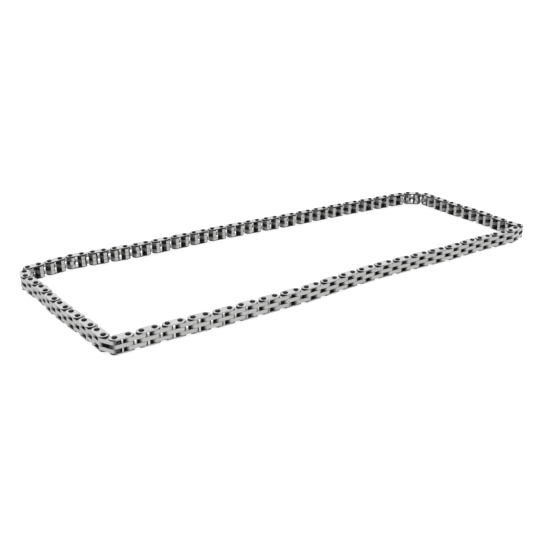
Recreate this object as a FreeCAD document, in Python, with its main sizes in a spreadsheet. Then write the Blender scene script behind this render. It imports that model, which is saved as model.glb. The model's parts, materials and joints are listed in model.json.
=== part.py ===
"""Endless inverted-tooth (silent) timing chain, lying on its side as a closed loop.

Frame: millimetres, +Z up along every pin, +X along the front run, origin under the middle
of the loop's box at the height of the lowest pin heads.
Levels from the bottom: guide plate, inner plate, centre plate, inner plate, guide plate.
"""
import FreeCAD, Part
import math
import os

import Sketcher
from FreeCAD import Placement, Rotation, Vector

os.makedirs("parts", exist_ok=True)
doc = FreeCAD.newDocument("silent_chain")

# ---------------------------------------------------------------- driving dimensions
SIZES = [
    ("pitch", 6.35, "pin centre to pin centre"),
    ("pin_diameter", 2.2, "shank of the riveted pin"),
    ("pin_clearance", 0.05, "radial gap between a pin and an inner plate"),
    ("head_diameter", 2.7, "rivet head"),
    ("head_height", 0.75, "rivet head above the guide plate"),
    ("head_round", 0.7, "rounding of the rivet head"),
    ("guide_thickness", 0.65, "guide plate"),
    ("guide_end_radius", 2.6, "rounded end and half width of a guide plate"),
    ("plate_thickness", 2.0, "toothed plate"),
    ("plate_end_radius", 2.5, "rounded end of a toothed plate, and its back above the pitch line"),
    ("side_gap", 0.03, "gap between neighbouring levels"),
    ("tooth_depth", 3.3, "pitch line to tooth tip"),
    ("tip_flat", 1.5, "flat of the tooth tip between its roundings"),
    ("tip_round", 0.35, "rounding of the tooth tip"),
    ("flank_angle", 30.0, "outer flank against the tooth's centre line, degrees"),
    ("crotch_radius", 0.85, "round bottom of the gap between the two teeth"),
    ("crotch_offset", 1.15, "pitch line to the centre of that round"),
]
sheet = doc.addObject("Spreadsheet::Sheet", "sizes")
size = {}
for row, (alias, value, note) in enumerate(SIZES, start=1):
    sheet.set("A%d" % row, note)
    sheet.set("B%d" % row, str(value))
    sheet.setAlias("B%d" % row, alias)
    size[alias] = value
doc.recompute()

LINE_START, LINE_END, CENTRE = 1, 2, 3
ORIGIN, X_AXIS, Y_AXIS = -1, -1, -2

# ---------------------------------------------------------------- route of the loop
# The chain is walked counter-clockwise from pin 0, so its inside is always on the left.
# Each stretch is a number of links in line and their heading in degrees from the front run.
# FREE headings are found below, so that the loop closes and keeps closed while it folds.
FREE = None
STRETCHES = [
    (4, 0), (4, -3), (8, 0), (4, 5), (4, 3), (8, -2), (3, 2), (1, 0), (4, -2),  # front run
    (1, 14), (1, 20), (1, 93),                                                  # front right corner
    (4, 86), (4, FREE), (4, 88),                                                # right side
    (1, 128), (1, 138), (1, 166),                                               # back right corner
    (4, FREE), (3, 176), (8, 178), (4, 175), (1, 180), (3, 177), (8, 180),      # back run
    (6, 174), (4, 189),
    (1, FREE), (1, 259), (1, 277),                                              # back left corner
    (2, 278), (3, 272), (3, 276), (2, 278), (2, 276),                           # left side
    (1, FREE), (1, 298),                                                        # front left corner
]
LINKS = sum(count for count, heading in STRETCHES)

# Rigid spans of the model between its working pivots: name, first pin and last pin.
# Two spans with the same swing turn together, and their lengths cancel, so the loop stays shut.
SPANS = [
    ("front_run_1", 112, 8, None),
    ("front_run_2", 8, 16, "left_wave"),
    ("front_run_3", 16, 24, None),
    ("front_run_4", 24, 32, "right_wave"),
    ("front_run_5", 32, 35, None),
    ("front_link", 35, 36, "link_step"),
    ("front_run_6", 36, 43, None),
    ("right_side", 43, 56, "side_fold"),
    ("back_run_1", 56, 65, None),
    ("back_run_2", 65, 73, "right_wave"),
    ("back_run_3", 73, 77, None),
    ("back_link", 77, 78, "link_step"),
    ("back_run_4", 78, 81, None),
    ("back_run_5", 81, 89, "left_wave"),
    ("back_run_6", 89, 99, None),
    ("left_side", 99, 112, "side_fold"),
]


def direction(heading):
    """Unit vector of a heading in degrees."""
    return Vector(math.cos(math.radians(heading)), math.sin(math.radians(heading)), 0)


def span_links(first, last):
    """Numbers of the links from one pin to another, over the end of the count if need be."""
    return [number % LINKS for number in range(first, last if last > first else last + LINKS)]


def stretch_starts():
    """Number of the first link of every stretch."""
    starts = []
    total = 0
    for count, heading in STRETCHES:
        starts.append(total)
        total += count
    return starts


def close_triangle(reach, near_count, far_count, guess):
    """Headings of two stretches that together span reach: the law of cosines.

    Of the two mirror-image answers it returns the one whose first heading is nearer the guess.
    """
    distance = reach.Length
    base = math.degrees(math.atan2(reach.y, reach.x))
    cosine = (distance ** 2 + near_count ** 2 - far_count ** 2) / (2 * distance * near_count)
    opening = math.degrees(math.acos(cosine))
    answers = []
    for near in (base + opening, base - opening):
        rest = reach - direction(near) * near_count
        far = math.degrees(math.atan2(rest.y, rest.x))
        answers.append((near % 360, far % 360))
    return min(answers, key=lambda pair: abs(pair[0] - guess))


def link_headings():
    """Heading of every link, with the four free stretches solved."""
    starts = stretch_starts()
    swing_of = {}
    for name, first, last, swing in SPANS:
        for number in span_links(first, last):
            swing_of[number] = swing
    solved = {}
    # The sides cancel each other in the side fold, and what never swings cancels by itself.
    for swing, near_guess in (("side_fold", 90), (None, 174)):
        reach = Vector(0, 0, 0)
        free = []
        for start, (count, heading) in zip(starts, STRETCHES):
            if swing_of[start] != swing:
                continue
            if heading is FREE:
                free.append((start, count))
            else:
                reach -= direction(heading) * count
        (near_start, near_count), (far_start, far_count) = free
        near, far = close_triangle(reach, near_count, far_count, near_guess)
        solved[near_start] = near
        solved[far_start] = far
    headings = []
    for start, (count, heading) in zip(starts, STRETCHES):
        headings += [solved.get(start, heading)] * count
    return headings


HEADINGS = link_headings()
pins = [Vector(0, 0, 0)]
for heading in HEADINGS:
    pins.append(pins[-1] + direction(heading) * size["pitch"])
closing_error = pins.pop().Length

# Every pin carries the round end of a guide plate, so those circles make the loop's box.
middle = Vector((min(pin.x for pin in pins) + max(pin.x for pin in pins)) / 2,
                (min(pin.y for pin in pins) + max(pin.y for pin in pins)) / 2, 0)
pins = [pin - middle for pin in pins]

# ---------------------------------------------------------------- heights of the levels
low_guide = size["head_height"]
low_inner = low_guide + size["guide_thickness"] + size["side_gap"]
centre_level = low_inner + size["plate_thickness"] + size["side_gap"]
high_inner = centre_level + size["plate_thickness"] + size["side_gap"]
high_guide = high_inner + size["plate_thickness"] + size["side_gap"]
PIN_LENGTH = ("2 * sizes.head_height + 2 * sizes.guide_thickness + 3 * sizes.plate_thickness"
              " + 4 * sizes.side_gap")


# ---------------------------------------------------------------- the four kinds of piece
def origin_plane(body, role):
    """The origin plane of a body with this role."""
    return [feature for feature in body.Origin.OriginFeatures if feature.Role == role][0]


def new_sketch(body, name, offset=None):
    """A sketch on the body's XY plane, raised by an expression where offset gives one."""
    sketch = body.newObject("Sketcher::SketchObject", name)
    sketch.AttachmentSupport = [(origin_plane(body, "XY_Plane"), "")]
    sketch.MapMode = "FlatFace"
    if offset:
        sketch.setExpression("AttachmentOffset.Base.z", offset)
    return sketch


def bind(sketch, kind, arguments, value, expression, name):
    """Add a dimension to the sketch and bind it to the sheet."""
    sketch.addConstraint(Sketcher.Constraint(kind, *arguments, value))
    sketch.renameConstraint(sketch.ConstraintCount - 1, name)
    sketch.setExpression("Constraints." + name, expression)


def add_hole(sketch, radius, expression):
    """A round hole on the pin centre, half a pitch along the X axis."""
    hole = sketch.addGeometry(Part.Circle(Vector(size["pitch"] / 2, 0, 0), Vector(0, 0, 1), radius))
    sketch.addConstraint(Sketcher.Constraint("PointOnObject", hole, CENTRE, X_AXIS))
    bind(sketch, "DistanceX", (ORIGIN, LINE_START, hole, CENTRE), size["pitch"] / 2,
         "sizes.pitch / 2", "hole_place")
    bind(sketch, "Radius", (hole,), radius, expression, "hole_radius")
    return hole


def pad_and_mirror(body, sketch, thickness):
    """Pad the right half of a plate and mirror it into a whole one."""
    pad = body.newObject("PartDesign::Pad", body.Name + "_pad")
    pad.Profile = sketch
    pad.setExpression("Length", thickness)
    doc.recompute()
    mirrored = body.newObject("PartDesign::Mirrored", body.Name + "_mirror")
    mirrored.Originals = [pad]
    mirrored.MirrorPlane = (origin_plane(body, "YZ_Plane"), [""])
    body.Tip = mirrored
    doc.recompute()


def toothed_plate(name, hole_clearance):
    """Plate with a straight back and two teeth. Its pins are on X, its teeth point to +Y."""
    body = doc.addObject("PartDesign::Body", name)
    half = size["pitch"] / 2
    radius = size["plate_end_radius"]
    angle = math.radians(size["flank_angle"])
    depth = size["tooth_depth"]
    rounding = size["tip_round"]
    crotch = Vector(0, size["crotch_offset"], 0)
    crotch_radius = size["crotch_radius"]
    # Outer flank: tangent to the round end, leaning inwards by the flank angle.
    flank_normal = Vector(math.cos(angle), math.sin(angle), 0)
    flank_top = Vector(half, 0, 0) + flank_normal * radius
    outer_round = Vector(half + (radius - rounding - math.sin(angle) * (depth - rounding))
                         / math.cos(angle), depth - rounding, 0)
    inner_round = outer_round - Vector(size["tip_flat"], 0, 0)
    # Inner flank: the line that touches the tip's inner round and the crotch's round.
    across = inner_round - crotch
    turn = math.atan2(across.y, across.x) + math.acos(-(rounding + crotch_radius) / across.Length)
    inner_normal = Vector(math.cos(turn), math.sin(turn), 0)
    sketch = new_sketch(body, name + "_outline")
    z_axis = Vector(0, 0, 1)

    def arc(centre, arc_radius, start, end):
        """Counter-clockwise arc between two angles in radians."""
        return Part.ArcOfCircle(Part.Circle(centre, z_axis, arc_radius), start, end)

    back_end = Vector(half, -radius, 0)
    crotch_top = crotch - Vector(0, crotch_radius, 0)
    back, end, flank, outer, tip, inner, inner_flank, bottom, split = sketch.addGeometry([
        Part.LineSegment(Vector(0, -radius, 0), back_end),
        arc(Vector(half, 0, 0), radius, -math.pi / 2, angle),
        Part.LineSegment(flank_top, outer_round + flank_normal * rounding),
        arc(outer_round, rounding, angle, math.pi / 2),
        Part.LineSegment(Vector(outer_round.x, depth, 0), Vector(inner_round.x, depth, 0)),
        arc(inner_round, rounding, math.pi / 2, turn),
        Part.LineSegment(inner_round + inner_normal * rounding, crotch - inner_normal * crotch_radius),
        arc(crotch, crotch_radius, -math.pi / 2, turn - math.pi),
        Part.LineSegment(crotch_top, Vector(0, -radius, 0)),
    ])
    joints = [(back, 2, end, 1), (end, 2, flank, 1), (flank, 2, outer, 1), (outer, 2, tip, 1),
              (tip, 2, inner, 1), (inner, 2, inner_flank, 1), (inner_flank, 2, bottom, 2)]
    for joint in joints:
        sketch.addConstraint(Sketcher.Constraint("Tangent", *joint))
    sketch.addConstraint([
        Sketcher.Constraint("Coincident", bottom, 1, split, 1),
        Sketcher.Constraint("Coincident", split, 2, back, 1),
        Sketcher.Constraint("Horizontal", back),
        Sketcher.Constraint("Horizontal", tip),
        Sketcher.Constraint("PointOnObject", split, 1, Y_AXIS),
        Sketcher.Constraint("PointOnObject", split, 2, Y_AXIS),
        Sketcher.Constraint("PointOnObject", bottom, CENTRE, Y_AXIS),
        Sketcher.Constraint("Equal", outer, inner),
    ])
    hole_radius = size["pin_diameter"] / 2 + size["pin_clearance"] * hole_clearance
    hole_formula = "sizes.pin_diameter / 2 + %d * sizes.pin_clearance" % hole_clearance
    hole = add_hole(sketch, hole_radius, hole_formula)
    sketch.addConstraint(Sketcher.Constraint("Coincident", end, CENTRE, hole, CENTRE))
    bind(sketch, "Radius", (end,), radius, "sizes.plate_end_radius", "end_radius")
    bind(sketch, "Radius", (outer,), rounding, "sizes.tip_round", "tip_round")
    bind(sketch, "Radius", (bottom,), crotch_radius, "sizes.crotch_radius", "crotch_radius")
    bind(sketch, "DistanceY", (ORIGIN, 1, tip, 1), depth, "sizes.tooth_depth", "tooth_depth")
    bind(sketch, "DistanceY", (ORIGIN, 1, bottom, CENTRE), crotch.y, "sizes.crotch_offset",
         "crotch_offset")
    bind(sketch, "Angle", (Y_AXIS, 1, flank, 1), angle, "sizes.flank_angle * 1 deg", "flank_angle")
    bind(sketch, "DistanceX", (tip, 2, tip, 1), size["tip_flat"], "sizes.tip_flat", "tip_flat")
    pad_and_mirror(body, sketch, "sizes.plate_thickness")
    return body


def guide_plate():
    """Plain plate with round ends. Its pins are on X."""
    body = doc.addObject("PartDesign::Body", "guide_plate")
    half = size["pitch"] / 2
    radius = size["guide_end_radius"]
    sketch = new_sketch(body, "guide_outline")
    low, end, high, split = sketch.addGeometry([
        Part.LineSegment(Vector(0, -radius, 0), Vector(half, -radius, 0)),
        Part.ArcOfCircle(Part.Circle(Vector(half, 0, 0), Vector(0, 0, 1), radius),
                         -math.pi / 2, math.pi / 2),
        Part.LineSegment(Vector(half, radius, 0), Vector(0, radius, 0)),
        Part.LineSegment(Vector(0, radius, 0), Vector(0, -radius, 0)),
    ])
    sketch.addConstraint([
        Sketcher.Constraint("Tangent", low, 2, end, 1),
        Sketcher.Constraint("Tangent", end, 2, high, 1),
        Sketcher.Constraint("Coincident", high, 2, split, 1),
        Sketcher.Constraint("Coincident", split, 2, low, 1),
        Sketcher.Constraint("Horizontal", low),
        Sketcher.Constraint("PointOnObject", split, 1, Y_AXIS),
        Sketcher.Constraint("PointOnObject", split, 2, Y_AXIS),
    ])
    hole = add_hole(sketch, size["pin_diameter"] / 2, "sizes.pin_diameter / 2")
    sketch.addConstraint(Sketcher.Constraint("Coincident", end, CENTRE, hole, CENTRE))
    bind(sketch, "Radius", (end,), radius, "sizes.guide_end_radius", "end_radius")
    pad_and_mirror(body, sketch, "sizes.guide_thickness")
    return body


def add_disc(body, name, diameter, length, offset=None):
    """A round pad on the body's own Z axis."""
    sketch = new_sketch(body, name + "_circle", offset)
    circle = sketch.addGeometry(Part.Circle(Vector(0, 0, 0), Vector(0, 0, 1), size[diameter] / 2))
    sketch.addConstraint(Sketcher.Constraint("Coincident", circle, CENTRE, ORIGIN, LINE_START))
    bind(sketch, "Diameter", (circle,), size[diameter], "sizes." + diameter, "width")
    pad = body.newObject("PartDesign::Pad", name)
    pad.Profile = sketch
    pad.setExpression("Length", length)
    doc.recompute()
    return pad


def riveted_pin():
    """Pin with a domed rivet head at each end. It stands on its lower head."""
    body = doc.addObject("PartDesign::Body", "riveted_pin")
    add_disc(body, "shank", "pin_diameter", PIN_LENGTH)
    add_disc(body, "low_head", "head_diameter", "sizes.head_height")
    top = add_disc(body, "high_head", "head_diameter", "sizes.head_height",
                   PIN_LENGTH + " - sizes.head_height")
    ends = (top.Shape.BoundBox.ZMin, top.Shape.BoundBox.ZMax)
    rims = []
    for number, edge in enumerate(top.Shape.Edges, start=1):
        height = edge.BoundBox.ZMin
        is_rim = edge.BoundBox.ZLength < 1e-3 and edge.BoundBox.XLength > size["pin_diameter"] + 1e-3
        if is_rim and min(abs(height - end) for end in ends) < 1e-3:
            rims.append("Edge%d" % number)
    dome = body.newObject("PartDesign::Fillet", "dome")
    dome.Base = (top, rims)
    dome.setExpression("Radius", "sizes.head_round")
    doc.recompute()
    return body


pin_body = riveted_pin()
guide_body = guide_plate()
centre_body = toothed_plate("centre_plate", 0)
inner_body = toothed_plate("inner_plate", 1)


# ---------------------------------------------------------------- the spans of the loop
def place(body, name, position, height, heading=0):
    """A copy of a piece, turned to a heading about Z and set down at a height."""
    copy = doc.addObject("App::Link", name)
    copy.LinkedObject = body
    copy.LinkPlacement = Placement(position + Vector(0, 0, height), Rotation(Vector(0, 0, 1), heading))
    return copy


def build_span(name, first, last):
    """The pieces of one span, sorted by kind. Even links are outer ones and carry the pins."""
    pieces = {"pins": [], "guide_plates": [], "centre_plates": [], "inner_plates": []}
    for number in span_links(first, last):
        start = pins[number]
        finish = pins[(number + 1) % LINKS]
        middle_of_link = (start + finish) / 2
        heading = HEADINGS[number]
        if number % 2 == 0:
            pieces["pins"] += [
                place(pin_body, "pin_%d" % number, start, 0),
                place(pin_body, "pin_%d" % (number + 1), finish, 0)]
            pieces["guide_plates"] += [
                place(guide_body, "guide_low_%d" % number, middle_of_link, low_guide, heading),
                place(guide_body, "guide_high_%d" % number, middle_of_link, high_guide, heading)]
            pieces["centre_plates"].append(
                place(centre_body, "centre_%d" % number, middle_of_link, centre_level, heading))
        else:
            pieces["inner_plates"] += [
                place(inner_body, "inner_low_%d" % number, middle_of_link, low_inner, heading),
                place(inner_body, "inner_high_%d" % number, middle_of_link, high_inner, heading)]
    nodes = []
    for kind, copies in pieces.items():
        if copies:
            node = doc.addObject("Part::Compound", name + "_" + kind)
            node.Links = copies
            nodes.append(node)
    return nodes


nodes = []
for span_name, first_pin, last_pin, swing in SPANS:
    nodes += build_span(span_name, first_pin, last_pin)
doc.recompute()

# ---------------------------------------------------------------- checks and export
for item in doc.Objects:
    if "Invalid" in item.State or "Error" in item.State:
        raise RuntimeError("%s failed: %s" % (item.Name, item.State))
if closing_error > 1e-6:
    raise RuntimeError("the loop does not close: %g mm" % closing_error)
for node in nodes:
    if node.Shape.isNull() or not node.Shape.isValid():
        raise RuntimeError(node.Label + " has no valid shape")
for node in nodes:
    node.Shape.exportStep("parts/%s.step" % node.Label)
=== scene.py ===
"""Looks of an endless silent timing chain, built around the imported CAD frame.

Lengths are in metres, and +Z points up along the pins.
"""
import json

import bpy
import numpy as np
from mathutils import Matrix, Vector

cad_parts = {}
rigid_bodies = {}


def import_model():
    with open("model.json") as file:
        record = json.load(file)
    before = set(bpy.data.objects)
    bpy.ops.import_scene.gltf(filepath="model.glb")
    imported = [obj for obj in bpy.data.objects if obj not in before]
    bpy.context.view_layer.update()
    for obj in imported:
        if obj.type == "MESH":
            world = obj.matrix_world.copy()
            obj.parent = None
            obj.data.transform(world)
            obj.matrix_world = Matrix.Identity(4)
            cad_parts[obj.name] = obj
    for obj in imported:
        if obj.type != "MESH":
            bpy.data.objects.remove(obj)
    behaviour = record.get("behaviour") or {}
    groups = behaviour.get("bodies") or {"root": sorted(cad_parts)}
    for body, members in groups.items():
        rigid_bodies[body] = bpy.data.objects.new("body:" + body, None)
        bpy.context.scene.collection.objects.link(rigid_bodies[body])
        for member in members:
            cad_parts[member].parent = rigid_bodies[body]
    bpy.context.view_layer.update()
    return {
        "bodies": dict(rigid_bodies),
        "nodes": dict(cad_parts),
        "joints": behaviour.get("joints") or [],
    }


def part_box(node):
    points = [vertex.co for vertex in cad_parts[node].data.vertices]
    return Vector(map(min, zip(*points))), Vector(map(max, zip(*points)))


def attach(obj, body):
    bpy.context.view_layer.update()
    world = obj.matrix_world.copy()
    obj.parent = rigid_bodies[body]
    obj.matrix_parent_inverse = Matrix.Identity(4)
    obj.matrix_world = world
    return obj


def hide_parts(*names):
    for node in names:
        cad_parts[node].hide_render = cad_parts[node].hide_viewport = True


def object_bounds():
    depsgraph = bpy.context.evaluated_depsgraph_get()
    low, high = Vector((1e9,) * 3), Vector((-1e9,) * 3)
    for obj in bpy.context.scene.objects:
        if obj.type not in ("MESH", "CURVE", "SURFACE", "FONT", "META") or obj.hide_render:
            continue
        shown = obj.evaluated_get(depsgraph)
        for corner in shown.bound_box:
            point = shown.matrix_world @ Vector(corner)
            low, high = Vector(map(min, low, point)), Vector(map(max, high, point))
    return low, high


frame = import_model()
MM = 0.001

# ---------------------------------------------------------------- the joints of the chain
# The chain hangs together at its pins, so every plate is placed from them. An outer link is a
# pair of pins held by guide plates, and the next pair follows after one inner link.
SAME_PIN = 3.0 * MM       # vertices nearer than this belong to one pin
SAME_LINK = 3.0 * MM      # a plate's waist is this near to the middle of its own link


def node_points(name):
    """Vertices of a CAD node as an n by 3 array, each place once."""
    mesh = frame["nodes"][name].data
    points = np.empty(len(mesh.vertices) * 3)
    mesh.vertices.foreach_get("co", points)
    return np.unique(np.round(points.reshape(-1, 3), 7), axis=0)


def pin_centres(name):
    """Axis of every pin of a node, in plan: the mean of the rim of its flat top."""
    points = node_points(name)
    rim = points[points[:, 2] > points[:, 2].max() - 0.001 * MM][:, :2]
    centres = []
    while len(rim):
        near = np.linalg.norm(rim - rim[0], axis=1) < SAME_PIN
        centres.append(rim[near].mean(axis=0))
        rim = rim[~near]
    return centres


pin_places = []
pin_bodies = []
for body in frame["bodies"]:
    if body + "_pins" in frame["nodes"]:
        found = pin_centres(body + "_pins")
        pin_places += found
        pin_bodies += [body] * len(found)
pin_places = np.array(pin_places)

# Walk round the loop from the first working pivot, always on to the nearest pin not yet seen.
pivot = [joint for joint in frame["joints"] if joint["name"] == "side_fold"][0]
apart = np.linalg.norm(pin_places[:, None] - pin_places[None], axis=2)
np.fill_diagonal(apart, np.inf)
here = int(np.linalg.norm(pin_places - np.array(pivot["pos_m"][:2]), axis=1).argmin())
order = [here]
ahead = [pin for pin in np.argsort(apart[here])[:2] if pin_bodies[pin] != pin_bodies[here]][0]
while ahead is not None:
    order.append(int(ahead))
    apart[:, here] = np.inf
    here = int(ahead)
    ahead = int(apart[here].argmin()) if len(order) < len(pin_places) else None
loop = pin_places[order]
loop_bodies = [pin_bodies[pin] for pin in order]
PITCH = float(np.linalg.norm(loop[1] - loop[0]))

starts = loop
ends = np.roll(loop, -1, axis=0)
link_middles = (starts + ends) / 2
link_headings = np.arctan2(ends[:, 1] - starts[:, 1], ends[:, 0] - starts[:, 0])
inner_links = np.arange(0, len(loop), 2)      # the walk starts at a pivot, so with an inner link
outer_links = np.arange(1, len(loop), 2)


def body_links(body):
    """Numbers of the inner and of the outer links that a body holds."""
    outer = [link for link in outer_links if loop_bodies[link] == body]
    inner = []
    if body + "_inner_plates" in frame["nodes"]:
        plan = node_points(body + "_inner_plates")[:, :2]
        gaps = np.linalg.norm(link_middles[inner_links][:, None] - plan[None], axis=2).min(axis=1)
        inner = [link for link, gap in zip(inner_links, gaps) if gap < SAME_LINK]
    return inner, outer


# ---------------------------------------------------------------- toothed plates
# Fine-blanked from 2 mm steel strip, hardened and tumbled. Two round ends carry the pins, and two
# teeth point into the loop. Inner plates turn on the pins, and centre plates are pressed onto them.
PLATE_THICKNESS = 2.0 * MM
PLATE_END = 2.5 * MM       # radius of the round ends, and height of the back above the pitch line
TOOTH_DEPTH = 3.3 * MM
TIP_FLAT = 1.5 * MM
TIP_ROUND = 0.35 * MM
FLANK_ANGLE = np.radians(30)
CROTCH_RADIUS = 0.85 * MM
CROTCH_OFFSET = 1.15 * MM
PIN_RADIUS = 1.1 * MM
HOLE_GAP = 0.05 * MM
PLATE_EDGE = 0.14 * MM      # rounding that tumbling leaves on the outline
HOLE_EDGE = 0.08 * MM
BLANK_MOTTLE = 900.0        # cells to the metre, as are the next three
BLANK_GRAIN = 9000.0
SHEAR_FINE = 9000.0         # across the sheared lines
SHEAR_LONG = 500.0          # along them
PLATE_STEEL = (0.60, 0.595, 0.59)
# Near-black painted shade for the edge walls of the plates' round ends, where the notches between plates
# fall dark.
PAINTED_SHADE = (0.01, 0.01, 0.01, 1.0)
chance = np.random.default_rng(7)


def arc(centre, radius, start, end, count, hollow=False):
    """Points on a circle from one angle to another, with outward normals: centre + radius (cos, sin)."""
    angles = np.linspace(start, end, count)
    rays = np.stack([np.cos(angles), np.sin(angles)], axis=1)
    return centre + radius * rays, -rays if hollow else rays


def line(start, end, normal, count):
    """Points along a straight stretch without its ends, all with one normal."""
    steps = np.linspace(0, 1, count + 2)[1:-1, None]
    return start + steps * (end - start), np.tile(normal, (count, 1))


def join(stretches):
    """One outline from several stretches: its points and its normals."""
    return np.concatenate([s[0] for s in stretches]), np.concatenate([s[1] for s in stretches])


def toothed_half():
    """Right half of a toothed plate's outline, from the middle of its back round to the crotch.

    Round end, flank that touches it at the flank angle, tip rounds, and an inner flank that
    touches both the tip's round and the crotch's round.
    """
    pin = np.array([PITCH / 2, 0.0])
    lean = np.array([np.cos(FLANK_ANGLE), np.sin(FLANK_ANGLE)])
    outer = np.array([pin[0] + (PLATE_END - TIP_ROUND - lean[1] * (TOOTH_DEPTH - TIP_ROUND)) / lean[0],
                      TOOTH_DEPTH - TIP_ROUND])
    inner = outer - [TIP_FLAT, 0]
    crotch = np.array([0.0, CROTCH_OFFSET])
    across = inner - crotch
    turn = np.arctan2(across[1], across[0]) + np.arccos(
        -(TIP_ROUND + CROTCH_RADIUS) / np.linalg.norm(across))
    inward = np.array([np.cos(turn), np.sin(turn)])
    back = line(np.array([0.0, -PLATE_END]), pin - [0, PLATE_END], [0.0, -1.0], 3)
    start = (np.array([[0.0, -PLATE_END]]), np.array([[0.0, -1.0]]))
    end = arc(pin, PLATE_END, -np.pi / 2, FLANK_ANGLE, 17)
    flank = line(end[0][-1], outer + lean * TIP_ROUND, lean, 2)
    tip_outer = arc(outer, TIP_ROUND, FLANK_ANGLE, np.pi / 2, 6)
    tip_inner = arc(inner, TIP_ROUND, np.pi / 2, turn, 6)
    inner_flank = line(tip_inner[0][-1], crotch - inward * CROTCH_RADIUS, inward, 2)
    bottom = arc(crotch, CROTCH_RADIUS, turn - np.pi, -np.pi / 2, 8, hollow=True)
    return join([start, back, end, flank, tip_outer, tip_inner, inner_flank, bottom])


def plate_mesh(outline, painted_shade, thickness, hole_radius, edge, hole_edge):
    """A closed plate with two pin holes and rounded edges, as arrays of vertices and quads.

    The half outline is a ring of points about the pin. Rings inset by the rounding step from the
    hole's wall over the lower face, the edge and the upper face back to the hole: a closed tube
    about the pin. It is mirrored at x = 0, where the two tubes are left open and welded.
    The second argument tells how much painted shade darkens each stretch of the outline.
    """
    points, normals = outline
    split = np.linspace(points[-1], points[0], 5)[1:-1]
    ring = np.concatenate([points, split])
    away = np.concatenate([normals, np.zeros_like(split)])
    pin = np.array([PITCH / 2, 0.0])
    rays = ring - pin
    rays /= np.linalg.norm(rays, axis=1, keepdims=True)
    mid_edge = edge * (1 - np.sqrt(0.5))
    half = np.sqrt(0.5)
    hole_low = [(hole_radius, hole_edge, -1.0, 0.0), (hole_radius + hole_edge, 0.0, 0.0, -1.0)]
    hole_high = [(r, thickness - z, n, -up) for r, z, n, up in hole_low[::-1]]
    low = [(edge, 0.0, 0.0, -1.0), (mid_edge, mid_edge, half, -half), (0.0, edge, 1.0, 0.0)]
    high = [(inset, thickness - z, n, -up) for inset, z, n, up in low[::-1]]
    rings = []
    facing = []
    walls = []
    for radius, height, sideways, up in hole_low:
        rings.append(np.c_[pin + radius * rays, np.full(len(ring), height)])
        facing.append(np.c_[rays * sideways, np.full(len(ring), up)])
        walls.append(0.0)
    for inset, height, sideways, up in low + high:
        rings.append(np.c_[ring - inset * away, np.full(len(ring), height)])
        facing.append(np.c_[away * sideways, np.full(len(ring), up)])
        walls.append(sideways)
    for radius, height, sideways, up in hole_high:
        rings.append(np.c_[pin + radius * rays, np.full(len(ring), height)])
        facing.append(np.c_[rays * sideways, np.full(len(ring), up)])
        walls.append(0.0)
    count, width = len(rings), len(ring)
    rows = np.repeat(np.arange(count), width)
    columns = np.tile(np.arange(width), count)
    next_row = (rows + 1) % count
    next_column = (columns + 1) % width
    quads = np.stack([rows * width + columns, rows * width + next_column,
                      next_row * width + next_column, next_row * width + columns], axis=1)
    on_split = columns >= len(points) - 1
    on_edge = (rows >= len(hole_low)) & (rows < len(hole_low) + len(low) + len(high) - 1)
    quads = quads[~(on_split & on_edge)]
    steps = np.linalg.norm(np.diff(ring, axis=0, append=ring[:1]), axis=1)
    along = np.tile(np.concatenate([[0], np.cumsum(steps)[:-1]]), count)
    shade_mask = np.tile(np.concatenate([painted_shade, np.zeros(len(split))]), count)
    vertices = np.concatenate(rings)
    vertex_normals = np.concatenate(facing)
    wall = np.repeat(walls, width)
    mirror = np.array([-1.0, 1.0, 1.0])
    vertices = np.concatenate([vertices, vertices * mirror])
    vertex_normals = np.concatenate([vertex_normals, vertex_normals * mirror])
    quads = np.concatenate([quads, quads[:, ::-1] + count * width])
    values = np.stack([np.tile(along, 2), np.tile(wall, 2), np.tile(shade_mask, 2)], axis=1)
    used = np.unique(quads)
    _, first, inverse = np.unique(np.round(vertices[used] / (0.001 * MM)), axis=0,
                                  return_index=True, return_inverse=True)
    renumber = np.full(len(vertices), -1)
    renumber[used] = inverse.ravel()
    kept = used[first]
    return vertices[kept], renumber[quads], vertex_normals[kept], values[kept]


def stamp(template, middles, headings, heights):
    """Copies of a template turned to each heading about Z and moved to each place, as one mesh's arrays."""
    vertices, quads, normals, values = template
    cos, sin = np.cos(headings), np.sin(headings)
    turn = np.stack([np.stack([cos, -sin], 1), np.stack([sin, cos], 1)], 1)
    plan = np.einsum("kij,vj->kvi", turn, vertices[:, :2]) + np.asarray(middles)[:, None]
    level = vertices[None, :, 2] + np.asarray(heights)[:, None]
    facing = np.einsum("kij,vj->kvi", turn, normals[:, :2])
    upward = np.broadcast_to(normals[None, :, 2], level.shape)
    copies = len(headings)
    shift = (np.arange(copies) * len(vertices))[:, None, None]
    tones = np.repeat(chance.random(copies), len(vertices))
    return (np.concatenate([plan, level[..., None]], 2).reshape(-1, 3),
            (quads[None] + shift).reshape(-1, quads.shape[1]),
            np.concatenate([facing, upward[..., None]], 2).reshape(-1, 3),
            np.c_[np.tile(values, (copies, 1)), tones])


def make_piece(name, arrays, material, body, node):
    """A piece from vertex, quad, normal and value arrays, riding on its body in place of its CAD node."""
    vertices, quads, normals, values = arrays
    mesh = bpy.data.meshes.new(name)
    mesh.vertices.add(len(vertices))
    mesh.vertices.foreach_set("co", vertices.ravel())
    mesh.loops.add(quads.size)
    mesh.loops.foreach_set("vertex_index", quads.ravel())
    mesh.polygons.add(len(quads))
    mesh.polygons.foreach_set("loop_start", np.arange(0, quads.size, 4))
    mesh.update(calc_edges=True)
    mesh.validate()
    mesh.shade_smooth()
    if normals is not None:
        mesh.normals_split_custom_set_from_vertices(normals)
    for column, label in enumerate(("along", "wall", "shade_mask", "tone")):
        attribute = mesh.attributes.new(label, "FLOAT", "POINT")
        attribute.data.foreach_set("value", np.ascontiguousarray(values[:, column], dtype=np.float32))
    mesh.materials.append(material)
    piece = bpy.data.objects.new(name, mesh)
    bpy.context.scene.collection.objects.link(piece)
    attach(piece, body)
    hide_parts(node)
    return piece


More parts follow.
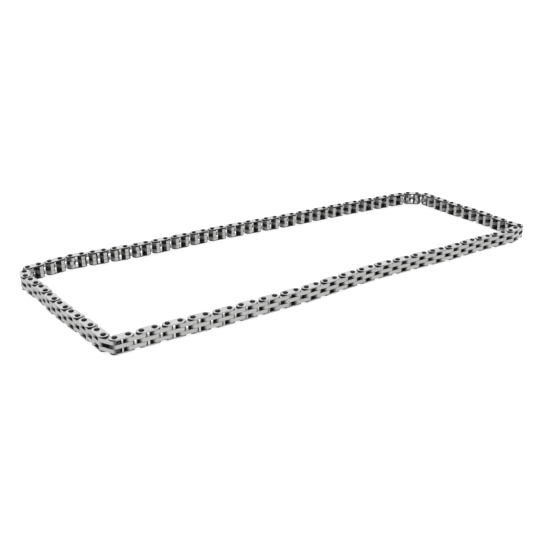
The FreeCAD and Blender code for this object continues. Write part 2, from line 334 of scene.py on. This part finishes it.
class Shader:
    """A node tree of one material, with short calls for nodes and links."""

    def __init__(self, name):
        self.material = bpy.data.materials.new(name)
        self.material.use_nodes = True
        self.tree = self.material.node_tree
        self.principled = self.tree.nodes["Principled BSDF"]

    def node(self, kind, **inputs):
        """A node of this kind. Values and sockets go to the inputs with these names, _ for a space."""
        made = self.tree.nodes.new("ShaderNode" + kind)
        for key, value in inputs.items():
            self.feed(made.inputs[key.replace("_", " ")], value)
        return made

    def feed(self, socket, value):
        """Link a socket into an input, or set the input's own value."""
        if isinstance(value, bpy.types.NodeSocket):
            self.tree.links.new(value, socket)
        else:
            socket.default_value = value

    def attribute(self, name):
        """A number that every vertex of the mesh carries under this name."""
        made = self.tree.nodes.new("ShaderNodeAttribute")
        made.attribute_name = name
        return made.outputs["Fac"]

    def maths(self, operation, a, b=0.0, c=0.0):
        """One step of arithmetic on values or sockets."""
        made = self.tree.nodes.new("ShaderNodeMath")
        made.operation = operation
        for socket, value in zip(made.inputs, (a, b, c)):
            self.feed(socket, value)
        return made.outputs[0]

    def between(self, value, low, high, to_low=0.0, to_high=1.0):
        """Carry a value from one range to another, held at the ends."""
        made = self.node("MapRange", Value=value, From_Min=low, From_Max=high,
                         To_Min=to_low, To_Max=to_high)
        return made.outputs["Result"]

    def blend(self, share, first, second):
        """Colour that goes from the first to the second as share goes from 0 to 1."""
        made = self.tree.nodes.new("ShaderNodeMix")
        made.data_type = "RGBA"
        self.feed(made.inputs["Factor"], share)
        self.feed(made.inputs["A"], first)
        self.feed(made.inputs["B"], second)
        return made.outputs["Result"]

    def noise(self, vector, scale, detail=2.0, roughness=0.5):
        """Cloudy noise from 0 to 1, scale cells to the unit of its vector."""
        made = self.node("TexNoise", Vector=vector, Scale=scale, Detail=detail, Roughness=roughness)
        return made.outputs["Fac"]

    def place(self):
        """Object coordinates, in metres."""
        return self.tree.nodes.new("ShaderNodeTexCoord").outputs["Object"]


def blanked_steel(name, colour, painted_shade, wall_shade, face_rough, wall_rough, depth):
    """Tumbled blanked steel: mottled faces, fine sheared lines through the thickness of the edge.

    colour is the clean metal, the next argument the near-black painted shade for the edge walls of the
    round ends and crotches, and wall_shade how light the sheared edge is against the faces.
    """
    steel = Shader(name)
    place = steel.place()
    wall = steel.attribute("wall")
    tone = steel.attribute("tone")
    mottle = steel.noise(place, BLANK_MOTTLE, 4.0, 0.6)
    grain = steel.noise(place, BLANK_GRAIN, 2.0, 0.6)
    height = steel.node("SeparateXYZ", Vector=place).outputs["Z"]
    sheared_at = steel.node("CombineXYZ", X=steel.maths("MULTIPLY", steel.attribute("along"), SHEAR_FINE),
                            Y=steel.maths("MULTIPLY", height, SHEAR_LONG),
                            Z=steel.maths("MULTIPLY", tone, 90.0)).outputs["Vector"]
    sheared = steel.noise(sheared_at, 1.0, 3.0, 0.55)
    # Painted shade: near black on the edge walls of the round ends and crotches, where the notches between
    # plates fall dark, broken up a little by the mottle. It is also made a little rougher.
    shade_share = steel.maths("MULTIPLY", steel.attribute("shade_mask"), wall)
    shade_share = steel.maths("MULTIPLY", shade_share, steel.between(mottle, 0.3, 0.6, 0.7, 1.0))
    shade = steel.maths("ADD", steel.between(mottle, 0.3, 0.7, 0.90, 1.04),
                        steel.between(tone, 0.0, 1.0, -0.05, 0.05))
    shade = steel.maths("MULTIPLY", shade, steel.between(wall, 0.0, 1.0, 1.0, wall_shade))
    clean = steel.node("VectorMath", Vector=colour[:3])
    clean.operation = "SCALE"
    steel.feed(clean.inputs["Scale"], shade)
    steel.feed(steel.principled.inputs["Base Color"], steel.blend(shade_share, clean.outputs["Vector"], painted_shade))
    rough = steel.maths("ADD", steel.between(wall, 0.0, 1.0, face_rough, wall_rough),
                        steel.between(mottle, 0.3, 0.7, -0.05, 0.07))
    shade_roughening = steel.maths("MULTIPLY", shade_share, 0.2)
    steel.feed(steel.principled.inputs["Roughness"], steel.maths("ADD", rough, shade_roughening))
    steel.principled.inputs["Metallic"].default_value = 1.0
    lines = steel.maths("MULTIPLY", sheared, wall)
    relief = steel.maths("ADD", lines, steel.maths("MULTIPLY", grain, 0.5))
    bump = steel.node("Bump", Height=relief, Distance=depth, Strength=0.6)
    steel.feed(steel.principled.inputs["Normal"], bump.outputs["Normal"])
    return steel.material


plate_steel = blanked_steel("plate_steel", PLATE_STEEL, PAINTED_SHADE, wall_shade=0.82,
                            face_rough=0.17, wall_rough=0.38, depth=0.02 * MM)
toothed_outline = toothed_half()
# Painted shade on the edge walls of the round ends and outer flanks, where the notches between plates fall
# dark, with a little in the crotch and none on the back.
sideways = toothed_outline[1][:, 0]
toothed_painted_shade = np.where(sideways > 0, np.clip((sideways - 0.25) / 0.5, 0, 1), -0.4 * sideways)
running_plate = plate_mesh(toothed_outline, toothed_painted_shade, PLATE_THICKNESS, PIN_RADIUS + HOLE_GAP,
                           PLATE_EDGE, HOLE_EDGE)
pressed_plate = plate_mesh(toothed_outline, toothed_painted_shade, PLATE_THICKNESS, PIN_RADIUS,
                           PLATE_EDGE, HOLE_EDGE)

for body in frame["bodies"]:
    inner, outer = body_links(body)
    node = body + "_inner_plates"
    if inner:
        low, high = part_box(node)
        both = inner + inner
        levels = np.repeat([low.z, high.z - PLATE_THICKNESS], len(inner))
        arrays = stamp(running_plate, link_middles[both], link_headings[both], levels)
        make_piece("inner_plates." + body, arrays, plate_steel, body, node)
    node = body + "_centre_plates"
    if outer:
        low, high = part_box(node)
        arrays = stamp(pressed_plate, link_middles[outer], link_headings[outer], np.full(len(outer), low.z))
        make_piece("centre_plates." + body, arrays, plate_steel, body, node)

# ---------------------------------------------------------------- guide plates
# Thin plain plates with round ends, one above and one below every outer link. They keep the chain
# on its sprocket. Blanked, tumbled brighter than the toothed plates and pressed onto the pins.
GUIDE_THICKNESS = 0.65 * MM
GUIDE_END = 2.6 * MM
GUIDE_EDGE = 0.10 * MM
GUIDE_STEEL = (0.66, 0.655, 0.67)


def guide_half():
    """Right half of a guide plate's outline: straight back, half circle about the pin, straight front."""
    pin = np.array([PITCH / 2, 0.0])
    start = (np.array([[0.0, -GUIDE_END]]), np.array([[0.0, -1.0]]))
    back = line(start[0][0], pin - [0, GUIDE_END], [0.0, -1.0], 3)
    end = arc(pin, GUIDE_END, -np.pi / 2, np.pi / 2, 25)
    front = line(pin + [0, GUIDE_END], np.array([0.0, GUIDE_END]), [0.0, 1.0], 3)
    close = (np.array([[0.0, GUIDE_END]]), np.array([[0.0, 1.0]]))
    return join([start, back, end, front, close])


guide_steel = blanked_steel("guide_steel", GUIDE_STEEL, PAINTED_SHADE, wall_shade=0.66,
                            face_rough=0.17, wall_rough=0.34, depth=0.012 * MM)
guide_outline = guide_half()
# Painted shade on the edge walls of the round ends and the side towards the sprocket, where the gaps
# between plates fall dark, and none on the back.
guide_painted_shade = np.clip((guide_outline[1].max(axis=1) - 0.1) / 0.35, 0, 1)
guide_plate = plate_mesh(guide_outline, guide_painted_shade, GUIDE_THICKNESS, PIN_RADIUS, GUIDE_EDGE, HOLE_EDGE)
for body in frame["bodies"]:
    inner, outer = body_links(body)
    if outer:
        node = body + "_guide_plates"
        low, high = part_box(node)
        levels = np.repeat([low.z, high.z - GUIDE_THICKNESS], len(outer))
        both = outer + outer
        arrays = stamp(guide_plate, link_middles[both], link_headings[both], levels)
        make_piece("guide_plates." + body, arrays, guide_steel, body, node)

# ---------------------------------------------------------------- riveted pins
# Ground, case-hardened pins. Each end is spun down over its guide plate into a low domed head,
# which leaves rings and a small dimple on top. Below the crown the head is near black: partly the
# duller steel that the tool doesn't reach, partly painted shade on the lower side of the dome.
HEAD_RADIUS = 1.35 * MM
HEAD_HEIGHT = 0.75 * MM
HEAD_DROP = 0.60 * MM        # from the crown of the head to its rim
HEAD_FULLNESS = 2.3
PIN_SEGMENTS = 32
CROWN_STEEL = (0.12, 0.118, 0.116)
# Near-black rim below the crown: partly duller steel, partly painted shade on the lower side of the dome.
RIM_DULL_AND_SHADED = (0.01, 0.01, 0.01, 1.0)
PIN_MOTTLE = 1500.0          # cells to the metre
TURNED_RINGS = 16000.0       # rings to the metre of radius


def pin_mesh(length):
    """A pin turned about its axis: the profile (radius, height) swept through a full circle."""
    reach = np.linspace(0.18, 1, 9)
    dome = np.c_[HEAD_RADIUS * reach, HEAD_DROP * reach ** HEAD_FULLNESS]
    neck = np.array([[HEAD_RADIUS, HEAD_HEIGHT - 0.04 * MM], [HEAD_RADIUS - 0.04 * MM, HEAD_HEIGHT],
                     [PIN_RADIUS, HEAD_HEIGHT]])
    lower = np.concatenate([dome, neck])
    upper = lower[::-1] * [1, -1] + [0, length]
    profile = np.concatenate([lower, upper])
    angles = np.linspace(0, 2 * np.pi, PIN_SEGMENTS, endpoint=False)
    sides = np.stack([np.cos(angles), np.sin(angles)], axis=1)
    rings = np.concatenate([profile[:, None, :1] * sides[None],
                            np.broadcast_to(profile[:, None, 1:], (len(profile), PIN_SEGMENTS, 1))], axis=2)
    vertices = rings.reshape(-1, 3)
    rows = np.repeat(np.arange(len(profile) - 1), PIN_SEGMENTS)
    columns = np.tile(np.arange(PIN_SEGMENTS), len(profile) - 1)
    beside = (columns + 1) % PIN_SEGMENTS
    quads = np.stack([rows * PIN_SEGMENTS + columns, rows * PIN_SEGMENTS + beside,
                      (rows + 1) * PIN_SEGMENTS + beside, (rows + 1) * PIN_SEGMENTS + columns], axis=1)
    # Each end is closed by a fan of quads over every second side of the dimple's ring.
    pole = np.array([[0, 0, 0], [0, 0, length]])
    evens = np.arange(0, PIN_SEGMENTS, 2)
    low_pole, high_pole = len(vertices), len(vertices) + 1
    last = (len(profile) - 1) * PIN_SEGMENTS
    after = (evens + 2) % PIN_SEGMENTS
    low_fan = np.stack([np.full(len(evens), low_pole), after, evens + 1, evens], axis=1)
    high_fan = np.stack([np.full(len(evens), high_pole), last + evens, last + evens + 1,
                         last + after], axis=1)
    vertices = np.concatenate([vertices, pole])
    quads = np.concatenate([quads, low_fan, high_fan])
    radius = np.linalg.norm(vertices[:, :2], axis=1)
    depth = np.minimum(vertices[:, 2], length - vertices[:, 2])
    # Share of the head below the crown that goes near black: partly duller steel, partly painted shade.
    rim = np.clip((depth - 0.04 * MM) / (0.20 * MM), 0, 1)
    values = np.stack([radius, rim, rim], axis=1)
    return vertices, quads, np.zeros_like(vertices), values


def spun_steel(name, colour, dark):
    """Hardened steel with fine turned rings on the bright crown, and below it a near-black rim that is
    partly duller steel and partly painted shade.
    """
    steel = Shader(name)
    place = steel.place()
    rim = steel.attribute("wall")
    tone = steel.attribute("tone")
    mottle = steel.noise(place, PIN_MOTTLE, 3.0, 0.6)
    ring_at = steel.node("CombineXYZ", X=steel.maths("MULTIPLY", steel.attribute("along"), TURNED_RINGS),
                         Y=steel.maths("MULTIPLY", tone, 60.0)).outputs["Vector"]
    rings = steel.noise(ring_at, 1.0, 2.0, 0.5)
    shade = steel.maths("ADD", steel.between(rings, 0.3, 0.7, 0.88, 1.04),
                        steel.between(tone, 0.0, 1.0, -0.06, 0.06))
    crown = steel.node("VectorMath", Vector=colour)
    crown.operation = "SCALE"
    steel.feed(crown.inputs["Scale"], shade)
    # The rim goes near black below the crown: partly duller steel, partly painted shade.
    share = steel.maths("MULTIPLY", rim, steel.between(mottle, 0.25, 0.6, 0.75, 1.0))
    steel.feed(steel.principled.inputs["Base Color"], steel.blend(share, crown.outputs["Vector"], dark))
    steel.feed(steel.principled.inputs["Roughness"], steel.between(mottle, 0.3, 0.7, 0.24, 0.42))
    steel.principled.inputs["Metallic"].default_value = 1.0
    bump = steel.node("Bump", Height=rings, Distance=0.008 * MM, Strength=0.5)
    steel.feed(steel.principled.inputs["Normal"], bump.outputs["Normal"])
    return steel.material


pin_steel = spun_steel("pin_steel", CROWN_STEEL, RIM_DULL_AND_SHADED)
low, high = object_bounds()
pin = pin_mesh(high[2] - low[2])
for body in frame["bodies"]:
    own = np.array([index for index, owner in enumerate(loop_bodies) if owner == body], int)
    if len(own):
        arrays = stamp(pin, loop[own], np.zeros(len(own)), np.full(len(own), low[2]))
        piece = make_piece("pins." + body, arrays[:2] + (None,) + arrays[3:], pin_steel, body,
                           body + "_pins")
        piece.data.set_sharp_from_angle(angle=np.radians(40))

# ---------------------------------------------------------------- studio
# A white acrylic table, lit softly from below, in a tent of light. The tent is brightest overhead
# and unlit low down at the camera's side.
FLOOR_HALF = 12.0
floor_mesh = bpy.data.meshes.new("floor")
floor_mesh.from_pydata([(-FLOOR_HALF, -FLOOR_HALF, 0), (FLOOR_HALF, -FLOOR_HALF, 0),
                        (FLOOR_HALF, FLOOR_HALF, 0), (-FLOOR_HALF, FLOOR_HALF, 0)], [], [(0, 1, 2, 3)])
floor = bpy.data.objects.new("floor", floor_mesh)
bpy.context.scene.collection.objects.link(floor)
acrylic = Shader("white_acrylic")
acrylic.principled.inputs["Base Color"].default_value = (0.5, 0.5, 0.5, 1)
acrylic.principled.inputs["Roughness"].default_value = 0.9
acrylic.principled.inputs["Emission Color"].default_value = (1, 1, 1, 1)
acrylic.principled.inputs["Emission Strength"].default_value = 0.75
floor_mesh.materials.append(acrylic.material)

world = bpy.data.worlds.new("tent")
bpy.context.scene.world = world
world.use_nodes = True
DARK_BEARING = np.radians(225)        # middle of the tent's unlit side, from +X towards +Y
HIGH_LIGHT = 0.1                      # how much brighter the top of the tent is than its walls
tree = world.node_tree
direction = tree.nodes.new("ShaderNodeTexCoord").outputs["Generated"]


def world_node(kind, operation=None, **inputs):
    """A node of the world. Values and sockets go to the inputs with these names or numbers."""
    made = tree.nodes.new("ShaderNode" + kind)
    if operation:
        made.operation = operation
    for key, value in inputs.items():
        socket = made.inputs[int(key[1:])] if key[1:].isdigit() else made.inputs[key.replace("_", " ")]
        if isinstance(value, bpy.types.NodeSocket):
            tree.links.new(value, socket)
        else:
            socket.default_value = value
    return made


def fade(value, low, high, to_low, to_high):
    """Smooth step of a value between two limits."""
    made = world_node("MapRange", Value=value, From_Min=low, From_Max=high,
                      To_Min=to_low, To_Max=to_high)
    made.interpolation_type = "SMOOTHSTEP"
    return made.outputs["Result"]


dark_way = (np.cos(DARK_BEARING), np.sin(DARK_BEARING), 0)
towards = world_node("VectorMath", "DOT_PRODUCT", _0=direction, _1=dark_way).outputs["Value"]
rise = world_node("SeparateXYZ", Vector=direction).outputs["Z"]
near_dark = fade(towards, -0.15, 0.35, 0.0, 1.0)
above_edge = world_node("Math", "MULTIPLY", _0=fade(rise, 0.08, 0.2, 0.0, 1.0),
                        _1=fade(rise, 0.6, 0.8, 1.0, 0.0)).outputs[0]
dark = world_node("Math", "MULTIPLY", _0=near_dark, _1=above_edge).outputs[0]
lit = world_node("Math", "MULTIPLY_ADD", _0=dark, _1=-0.98, _2=1.0).outputs[0]
walls = fade(rise, 0.35, 0.85, 1.0, 1.0 + HIGH_LIGHT)
strength = world_node("Math", "MULTIPLY", _0=lit, _1=walls).outputs[0]
background = tree.nodes["Background"]
background.inputs["Color"].default_value = (1, 1, 1, 1)
tree.links.new(strength, background.inputs["Strength"])


# The camera stands low at the front left corner and looks along the loop.
CAMERA_PLACE = (-0.22824, -0.33735, 0.15706)
CAMERA_BEARING = np.radians(57.65)      # from +X towards +Y
CAMERA_DOWN = np.radians(21.68)
CAMERA_ROLL = np.radians(-0.72)
CAMERA_LENS = 50.73
lens = bpy.data.cameras.new("camera")
lens.lens = CAMERA_LENS
lens.sensor_width = 36.0
lens.clip_start = 0.01
camera = bpy.data.objects.new("camera", lens)
view = (Matrix.Rotation(CAMERA_BEARING - np.pi / 2, 4, "Z")
        @ Matrix.Rotation(np.pi / 2 - CAMERA_DOWN, 4, "X") @ Matrix.Rotation(CAMERA_ROLL, 4, "Z"))
camera.matrix_world = Matrix.Translation(CAMERA_PLACE) @ view
bpy.context.scene.collection.objects.link(camera)
bpy.context.scene.camera = camera
bpy.context.scene.view_settings.view_transform = "Standard"
